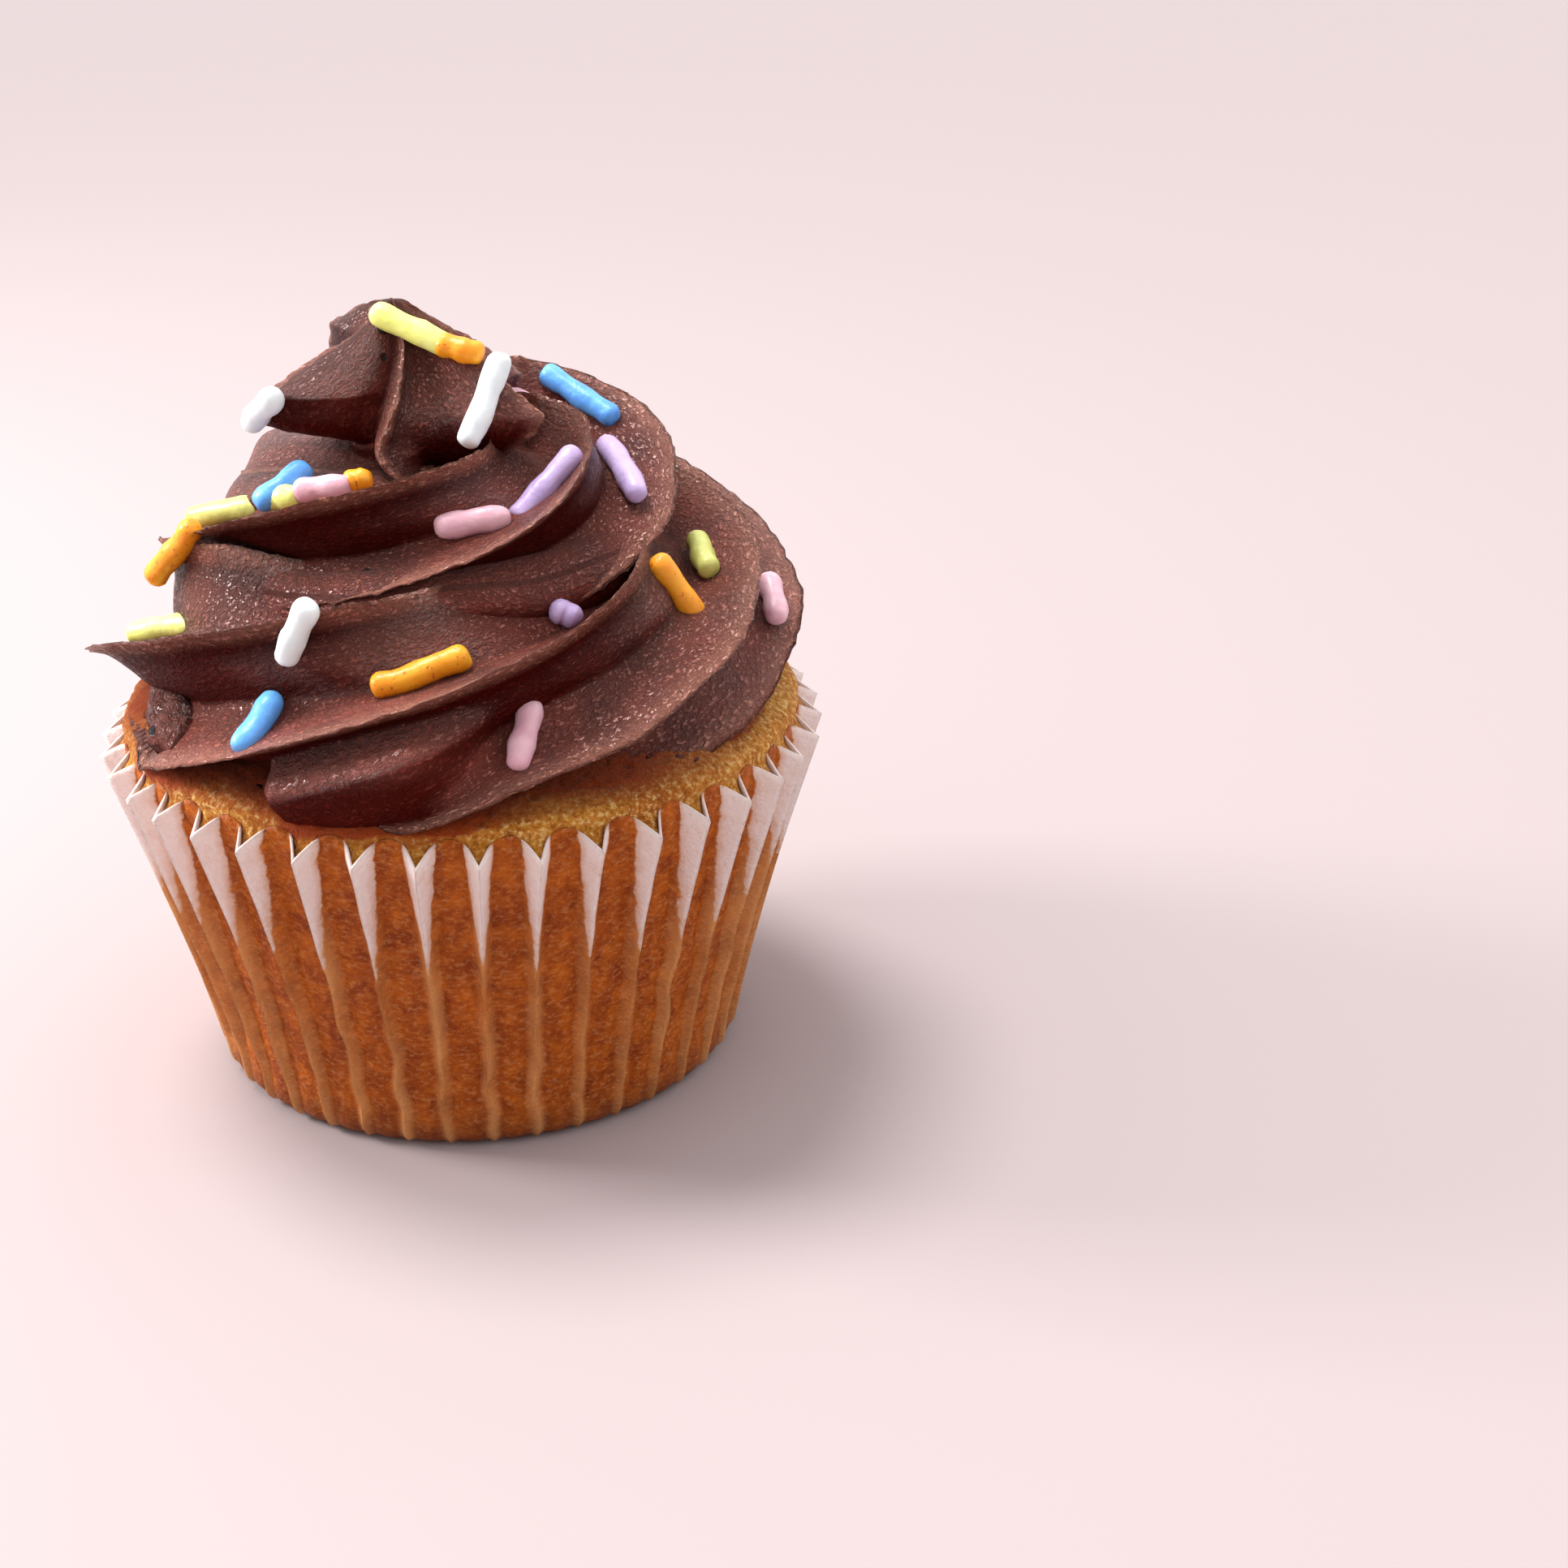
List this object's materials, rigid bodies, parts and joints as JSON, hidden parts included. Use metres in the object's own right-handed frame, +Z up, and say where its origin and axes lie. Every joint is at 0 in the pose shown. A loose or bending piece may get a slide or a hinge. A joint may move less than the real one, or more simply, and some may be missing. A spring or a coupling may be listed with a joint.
{
  "type": "cupcake",
  "caption": "Chocolate-iced cupcake in a pleated paper case, with a piped star-tip swirl and sugar sprinkles, standing on its flat base.",
  "frame": {"origin": "middle of the case's flat base, on the surface it stands on", "axes": "+Z up through the swirl; the picture looks along +Y and down, with +X to the right"},
  "size_m": [0.0668, 0.0668, 0.0713],
  "materials": {
    "paper_case": "greaseproof paper, browned where the cake touches it",
    "cake": "golden sponge crumb",
    "icing": "satin chocolate buttercream"
  },
  "bodies": {
    "root": {"paper_case": "paper_case", "cake": "cake", "icing": "icing"}
  },
  "joints": []
}
